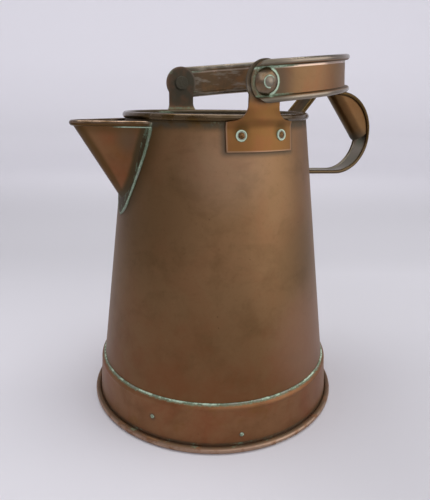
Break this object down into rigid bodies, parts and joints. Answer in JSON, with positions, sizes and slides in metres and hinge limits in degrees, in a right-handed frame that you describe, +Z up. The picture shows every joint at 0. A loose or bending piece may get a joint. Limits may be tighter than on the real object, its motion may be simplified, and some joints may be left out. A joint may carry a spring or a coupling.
{
  "type": "hot water can",
  "caption": "Tapered copper hot water can on a flared foot, with a wired lip spout, a swinging bail handle on riveted ears and a looped side handle with a hollow grasp.",
  "frame": {"origin": "centre of the foot ring on the ground, on the can's axis", "axes": "+Z up along the can's axis, +X towards the side handle, -X towards the spout, +Y towards the right ear of the bail"},
  "size_m": [0.2691, 0.216, 0.2878],
  "materials": {
    "can_shell": "brown patinated sheet copper",
    "rim_wire": "iron wire inside the rolled rim",
    "base": "brown patinated sheet copper",
    "foot_band": "reddish patinated sheet copper",
    "foot_wire": "iron wire inside the rolled edge",
    "foot_solder": "dull soft solder with verdigris",
    "foot_pins": "copper pins, darkened",
    "spout_shell": "purple-brown patinated sheet copper",
    "spout_wire": "iron wire inside the rolled edge",
    "spout_solder": "dull soft solder with verdigris",
    "left_ear": "orange-brown patinated copper plate",
    "right_ear": "greenish-brown patinated copper plate",
    "ear_rivets": "hammered copper, darkened",
    "ear_burrs": "copper rings with verdigris",
    "pivot_rivets": "hammered copper, darkened",
    "pivot_domes": "dark greenish copper with a worn shine",
    "handle_strap": "brown patinated copper with a worn edge",
    "handle_wires": "iron wire inside the rolled edges",
    "handle_rivets": "hammered copper, darkened",
    "handle_grasp": "brown patinated sheet copper",
    "bail_strap": "brown patinated copper with worn edges",
    "bail_upper_wire": "iron wire inside the rolled edge",
    "bail_lower_wire": "iron wire inside the rolled edge"
  },
  "bodies": {
    "can": {"can_shell": "can_shell", "rim_wire": "rim_wire", "base": "base", "foot_band": "foot_band", "foot_wire": "foot_wire", "foot_solder": "foot_solder", "foot_pins": "foot_pins", "spout_shell": "spout_shell", "spout_wire": "spout_wire", "spout_solder": "spout_solder", "left_ear": "left_ear", "right_ear": "right_ear", "ear_rivets": "ear_rivets", "ear_burrs": "ear_burrs", "pivot_rivets": "pivot_rivets", "pivot_domes": "pivot_domes", "handle_strap": "handle_strap", "handle_wires": "handle_wires", "handle_rivets": "handle_rivets", "handle_grasp": "handle_grasp"},
    "bail": {"bail_strap": "bail_strap", "bail_upper_wire": "bail_upper_wire", "bail_lower_wire": "bail_lower_wire"}
  },
  "joints": [
    {"name": "bail", "type": "hinge", "parent": "can", "child": "bail", "pos_m": [0, 0, 0.2638], "axis": [0, -0.9998, -0.0175], "range_deg": [0, 181.8]}
  ]
}
